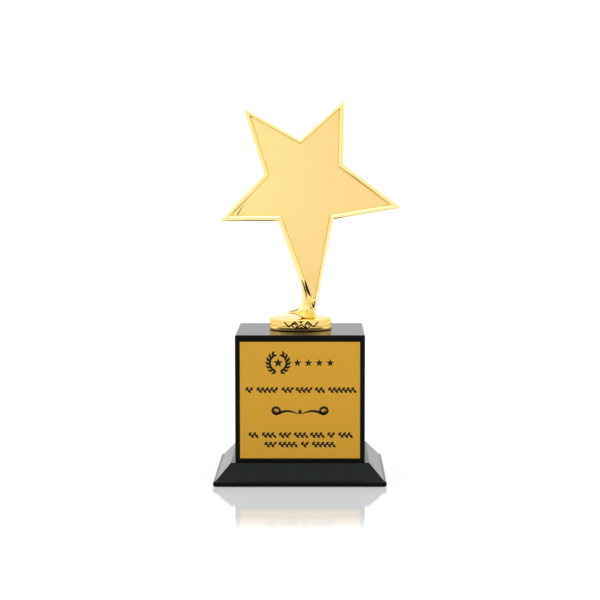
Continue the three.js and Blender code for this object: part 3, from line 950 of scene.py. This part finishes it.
def plinth_profile():
    """Half width and height of the plinth's outside, from its underside to its ledge."""
    outer = PLINTH_HIGH.x
    base, top = PLINTH_LOW.z, PLINTH_HIGH.z
    lip = base + LIP
    slope = math.degrees(math.atan2(top - lip, outer - SLOPE_TOP))
    foot, r = FOOT_ROUNDING, LIP_ROUNDING
    underside = arc((outer - foot, base + foot), foot, -90, 0, 5)
    lip_top = [(x, z) for x, z in arc((outer - r, lip - r), r, 0, 90, 6) if z < lip - 0.05]
    crease = [(outer - 1.2, lip - 0.03), (outer - 1.9, lip + 0.2)]
    ledge = arc((SLOPE_TOP - 0.3, top - LEDGE_ROUNDING), LEDGE_ROUNDING, 90 - slope, 90, 4)
    return [*underside, *lip_top, *crease, *ledge]


def plinth():
    rings = [rounded_square(half, CORNER_ROUNDING, z, 6) for half, z in plinth_profile()]
    low = PLINTH_LOW.z
    holes = [hole(ROD_HOLE, low, PLINTH_HIGH.z + 1), hole(RECESS_RADIUS, low, low + RECESS_DEPTH, steps=64)]
    for x, y in screw_places():
        holes.append(lathe([(radius, low + z) for radius, z in SCREW_HOLE], 32, x, y))
    return piece("plinth_lacquered", cut(loft(rings), holes), "black_lacquer", ["plinth"], 30)


PAD_CORNER = 4
PAD_SECTION = [(0.25, 0), (0.08, 0.12), (0, 0.4), (0.05, 1)]  # how far in, and share of the height


def felt_pad():
    low, high = box_mm("felt_pad")
    rings = [
        rounded_square(high.x - inset, PAD_CORNER, low.z + share * (high.z - low.z), 8)
        for inset, share in PAD_SECTION
    ]
    return piece("felt_pad_napped", loft(rings), "black_felt", ["felt_pad"], 40)


# ---- Name plate ----


PLATE_EDGE = 0.22
PRINT_FRONT = PLATE_LOW.y - 0.03  # the ink stands proud of the plate
PRINT_BACK = PLATE_LOW.y + 0.05


def name_plate():
    mesh = bevelled(block(PLATE_LOW, PLATE_HIGH), PLATE_EDGE, 2)
    return piece("name_plate_sheet", mesh, "plate_gold", ["name_plate"], 25)


def prisms(outlines):
    """Flat marks on the plate's front, from outlines of sideways and upward pairs."""
    meshes = []
    for outline in outlines:
        meshes.append(loft([[Vector((x, y, z)) for x, z in outline] for y in (PRINT_FRONT, PRINT_BACK)]))
    return joined(meshes)


def strokes(lines):
    """Pen strokes on the plate's front, each a line of sideways, upward and width values."""
    meshes = []
    for line in lines:
        rings = []
        for i, (x, z, width) in enumerate(line):
            before, after = line[max(i - 1, 0)], line[min(i + 1, len(line) - 1)]
            along = Vector((after[0] - before[0], 0, after[1] - before[1])).normalized()
            across = Vector((-along.z, 0, along.x)) * width / 2
            front, back = Vector((x, PRINT_FRONT, z)), Vector((x, PRINT_BACK, z))
            rings.append([front - across, front + across, back + across, back - across])
        meshes.append(loft(rings))
    return joined(meshes)


def leaf(x, z, angle, length, width):
    """A pointed oval from its stalk."""
    c, s = math.cos(angle), math.sin(angle)
    upper = [(length * i / 6, width / 2 * math.sin(math.pi * i / 6) ** 0.8) for i in range(7)]
    lower = [(u, -v) for u, v in reversed(upper[1:6])]
    return [(x + u * c - v * s, z + u * s + v * c) for u, v in upper + lower]


def five_pointed(x, z, radius):
    """A star's outline."""
    made = []
    for i in range(10):
        r = radius if i % 2 == 0 else radius * 0.42
        a = math.pi / 2 + i * math.pi / 5
        made.append((x + r * math.cos(a), z + r * math.sin(a)))
    return made


def wreath(x, z, radius):
    """A laurel wreath, open at the top, round a small star."""
    made = [five_pointed(x, z, radius * 0.42)]
    for side in (1, -1):
        for i in range(7):
            a = -math.pi / 2 + side * (0.22 + i * 0.37)
            foot = (x + 0.78 * radius * math.cos(a), z + 0.78 * radius * math.sin(a))
            along = a + side * math.pi / 2
            for lean in (0.6, -0.5):
                made.append(leaf(*foot, along + side * lean, radius * 0.42, radius * 0.2))
    return made


def garland(x, z, length):
    """Leaves from a level stalk, up and down in turn."""
    made = []
    count = max(round(length / GARLAND_STEP), 2)
    for i in range(count):
        side = 1 if i % 2 == 0 else -1
        made.append(leaf(x + i * GARLAND_STEP, z, side * LEAF_LEAN, LEAF_LENGTH, LEAF_WIDTH))
    return made


def scroll(x, z, side, length):
    """A tapering wave that ends in a curl, to one side of x."""
    line = []
    steps = 56
    for i in range(steps + 1):
        t = i / steps
        curl = max(t - 0.5, 0) / 0.5
        turn = 3.2 * math.pi * curl
        radius = length * 0.16 * (1 - 0.72 * curl)
        u = length * (0.06 + 0.74 * min(t / 0.5, 1)) + radius * math.sin(turn)
        v = length * 0.1 * math.sin(math.pi * min(t / 0.5, 1)) - length * 0.07
        v += radius * (1 - math.cos(turn)) * 0.9
        line.append((x + side * u, z + v, 0.4 + 1.4 * math.sin(math.pi * t) ** 0.8))
    return line


WREATH = (-14.2, 80.0, 8.0)  # place and radius
STAR_ROW = (-1.6, 80.0, 7.1, 4, 2.7)  # first star's place, the step, how many and their radius
FLOURISH_HEIGHT = 47.8
FLOURISH_LENGTH = 19
DIAMOND_MARK = [(0, 2), (1.4, 0), (0, -2), (-1.4, 0)]
# Garlands where an inscription would go: left end and height of each row, and the lengths of its garlands.
GARLANDS = [
    (-35.6, 62.2, (5.0, 14.2, 7.0, 10.4, 6.4, 18.0)),
    (-33.7, 32.5, (6.5, 9.0, 7.5, 8.5, 9.0, 5.0, 9.5)),
    (-23.3, 26.3, (7.0, 12.5, 5.0, 15.0)),
]
GARLAND_GAP = 2.2
GARLAND_STEP = 1.5
LEAF_LENGTH, LEAF_WIDTH, LEAF_LEAN = 2.8, 1.624, 0.75
STALK_WIDTH, STALK_END = 0.6, 0.4


def inscription():
    """Ornament where the plate would be lettered: a wreath, stars, garlands and a flourish."""
    marks = wreath(*WREATH)
    x, z, step, count, radius = STAR_ROW
    marks += [five_pointed(x + i * step, z, radius) for i in range(count)]
    lines = [scroll(0, FLOURISH_HEIGHT, side, FLOURISH_LENGTH) for side in (1, -1)]
    for x, z, lengths in GARLANDS:
        for length in lengths:
            marks += garland(x, z, length)
            lines.append([(x, z, STALK_WIDTH), (x + length - STALK_END, z, STALK_WIDTH)])
            x += length + GARLAND_GAP
    marks.append([(x, FLOURISH_HEIGHT + z) for x, z in DIAMOND_MARK])
    mesh = joined([prisms(marks), strokes(lines)])
    return piece("name_plate_print", mesh, "plate_gold", (), 30, INK)


# ---- Hidden hardware ----


def screw_places():
    """Middle of each plinth screw, from the front left one round."""
    names = ("front_left", "front_right", "back_right", "back_left")
    boxes = [box_mm("plinth_screw_" + name) for name in names]
    return [((low.x + high.x) / 2, (low.y + high.y) / 2) for low, high in boxes]


THREAD_DEPTH = 0.54  # as share of the pitch
ROD_PITCH = 1.0
BORE = 3.3  # radius of the nut's and the washer's hole
NUT_CHAMFER, NUT_FACE = 0.45, 0.9  # height of the chamfer, and the end face's radius as share of the corner's


def thread(radius, pitch, low, high, steps=24, per_turn=5):
    """A threaded shank: radius rises and falls along a helix, and both ends are plain."""
    count = round((high - low) / pitch * per_turn)
    depth = THREAD_DEPTH * pitch
    rings = []
    for k in range(count + 1):
        z = low + (high - low) * k / count
        ring = []
        for i in range(steps):
            turn = i / steps
            phase = ((z - low) / pitch - turn) % 1
            near_end = min(k, count - k) < per_turn
            fall = depth if near_end else depth * abs(2 * phase - 1)
            a = 2 * math.pi * turn
            r = radius - fall
            ring.append(Vector((r * math.cos(a), r * math.sin(a), z)))
        rings.append(ring)
    return loft(rings)


def threaded_rod():
    low, high = box_mm("threaded_rod")
    mesh = thread(high.x, ROD_PITCH, low.z, high.z)
    return piece("threaded_rod_cut", mesh, "zinc_steel", ["threaded_rod"], 50)


def rod_nut():
    low, high = box_mm("rod_nut")
    corner = high.x
    rings = []
    inner = (low.z + NUT_CHAMFER, 1), (high.z - NUT_CHAMFER, 1)
    for z, share in ((low.z, NUT_FACE), *inner, (high.z, NUT_FACE)):
        ring = []
        for i in range(60):
            a = 2 * math.pi * i / 60
            flat = corner * math.cos(math.pi / 6) / math.cos((a % (math.pi / 3)) - math.pi / 6)
            r = min(flat, corner * share + 0.3 * (share == 1))
            ring.append(Vector((r * math.cos(a), r * math.sin(a), z)))
        rings.append(ring)
    mesh = cut(loft(rings), [hole(BORE, low.z, high.z + 1)])
    return piece("rod_nut_hexagonal", mesh, "zinc_steel", ["rod_nut"], 30)


def rod_washer():
    low, high = box_mm("rod_washer")
    section = [(BORE, low.z), (high.x - 0.15, low.z), (high.x, low.z + 0.15)]
    section += [(high.x, high.z - 0.3), (high.x - 0.3, high.z), (BORE, high.z)]
    return piece("rod_washer_stamped", tube(section, 72), "zinc_steel", ["rod_washer"], 30)


def carried_over():
    """CAD nodes whose shape is right, with a material of their own."""
    slots = {row["node"]: row["material_slot"] for row in frame["record"]["subparts"]}
    for name, node in frame["nodes"].items():
        if node.hide_render:
            continue
        node.data.materials.clear()
        node.data.materials.append(MATERIALS[slots[name]])


# ---- Studio ----


def camera():
    """The photograph's viewing angle, 4.75 degrees below level."""
    data = bpy.data.cameras.new("camera")
    data.sensor_width = 36
    data.lens = 111
    data.shift_x = -0.0306
    data.clip_start = 0.05
    made = placed("camera", data)
    made.location = (0.0120, -1.2422, 0.2208)
    made.rotation_euler = (math.radians(90 - 4.75), 0, 0)
    bpy.context.scene.camera = made


FLOOR_RADIUS, FLOOR_SIDES = 4000, 64
GLOSS_ENDS, GLOW_FULL = 152, 195  # how far from the object's middle


def floor():
    """A white acrylic table with painted light: it glows though it is no lamp. Near the object it mirrors its
    foot faintly and glows dimmer, a painted shadow, and further away it glows white.
    """
    shader = Shader("floor_acrylic", IOR=1.45, Roughness=0.06)
    shader.surface.inputs["Base Color"].default_value = (0.2, 0.2, 0.2, 1)
    shader.surface.inputs["Emission Color"].default_value = (0.98, 1, 0.99, 1)
    distance = shader.length(shader.place())
    gloss = shader.spread(distance, 0.5, 0.0, GLOSS_ENDS * MM, GLOW_FULL * MM)
    shader.link(gloss, shader.surface.inputs["Specular IOR Level"])
    # Painted light: the floor glows, dimmer near the object as a painted shadow and brighter further away.
    glow = shader.spread(distance, 0.45, 0.82, GLOSS_ENDS * MM, GLOW_FULL * MM)
    shader.link(glow, shader.surface.inputs["Emission Strength"])
    angles = [2 * math.pi * i / FLOOR_SIDES for i in range(FLOOR_SIDES)]
    ring = [Vector((math.cos(a), math.sin(a), 0)) * FLOOR_RADIUS * MM for a in angles]
    mesh = bpy.data.meshes.new("floor")
    mesh.from_pydata(ring, [], [list(range(FLOOR_SIDES))])
    mesh.materials.append(shader.material)
    placed("floor", mesh)


# The studio's brightness by direction, from its front through its sides to its back.
ROOM = [(0.0, 0.72), (0.1, 0.74), (0.26, 0.93), (0.5, 1.0), (0.8, 0.86), (1.0, 0.82)]
ROOM_STRENGTH = 1.32


def world():
    """A white studio, dimmer in front, and brighter to the left than to the right."""
    made = bpy.data.worlds.new("studio")
    made.use_nodes = True
    tree = made.node_tree
    room = tree.nodes["Background"]
    direction = tree.nodes.new("ShaderNodeTexCoord")
    parts = tree.nodes.new("ShaderNodeSeparateXYZ")
    across = tree.nodes.new("ShaderNodeMapRange")
    limits = {"From Min": -1, "From Max": 1, "To Min": 1.06 * ROOM_STRENGTH, "To Max": 0.94 * ROOM_STRENGTH}
    for name, number in limits.items():
        across.inputs[name].default_value = number
    depth = tree.nodes.new("ShaderNodeMapRange")
    depth.inputs["From Min"].default_value = -1
    ramp = tree.nodes.new("ShaderNodeValToRGB")
    stops = ramp.color_ramp.elements
    while len(stops) < len(ROOM):
        stops.new(0.5)
    for stop, (place, level) in zip(stops, ROOM):
        stop.position = place
        stop.color = (level, level, level, 1)
    tree.links.new(direction.outputs["Generated"], parts.inputs["Vector"])
    tree.links.new(parts.outputs["X"], across.inputs["Value"])
    tree.links.new(parts.outputs["Y"], depth.inputs["Value"])
    tree.links.new(depth.outputs["Result"], ramp.inputs["Fac"])
    tree.links.new(ramp.outputs["Color"], room.inputs["Color"])
    tree.links.new(across.outputs["Result"], room.inputs["Strength"])
    bpy.context.scene.world = made


def softbox(name, place, target, width, height, watts, colour):
    """A rectangular lamp that looks from its place towards a target."""
    data = bpy.data.lights.new(name, "AREA")
    data.shape = "RECTANGLE"
    data.size, data.size_y = width, height
    data.energy = watts
    data.color = colour
    made = placed(name, data)
    made.location = place
    made.rotation_euler = (Vector(target) - Vector(place)).to_track_quat("-Z", "Y").to_euler()


def studio():
    bpy.context.scene.view_settings.view_transform = "Standard"
    camera()
    floor()
    world()
    softbox("top_softbox", (0, 0, 1.6), (0, 0, 0.1), 1.2, 1.2, 10.5, (0.84, 0.98, 1))


# ---- Everything ----


def trophy():
    star_frame()
    star_face(-1, "star_face_front")
    star_face(1, "star_face_back")
    stem()
    disc()
    top_panel()
    for quarter, name in enumerate(("front_wall", "right_wall", "back_wall", "left_wall")):
        wall(name, quarter)
    plinth()
    felt_pad()
    name_plate()
    inscription()
    threaded_rod()
    rod_nut()
    rod_washer()
    carried_over()


studio()
trophy()
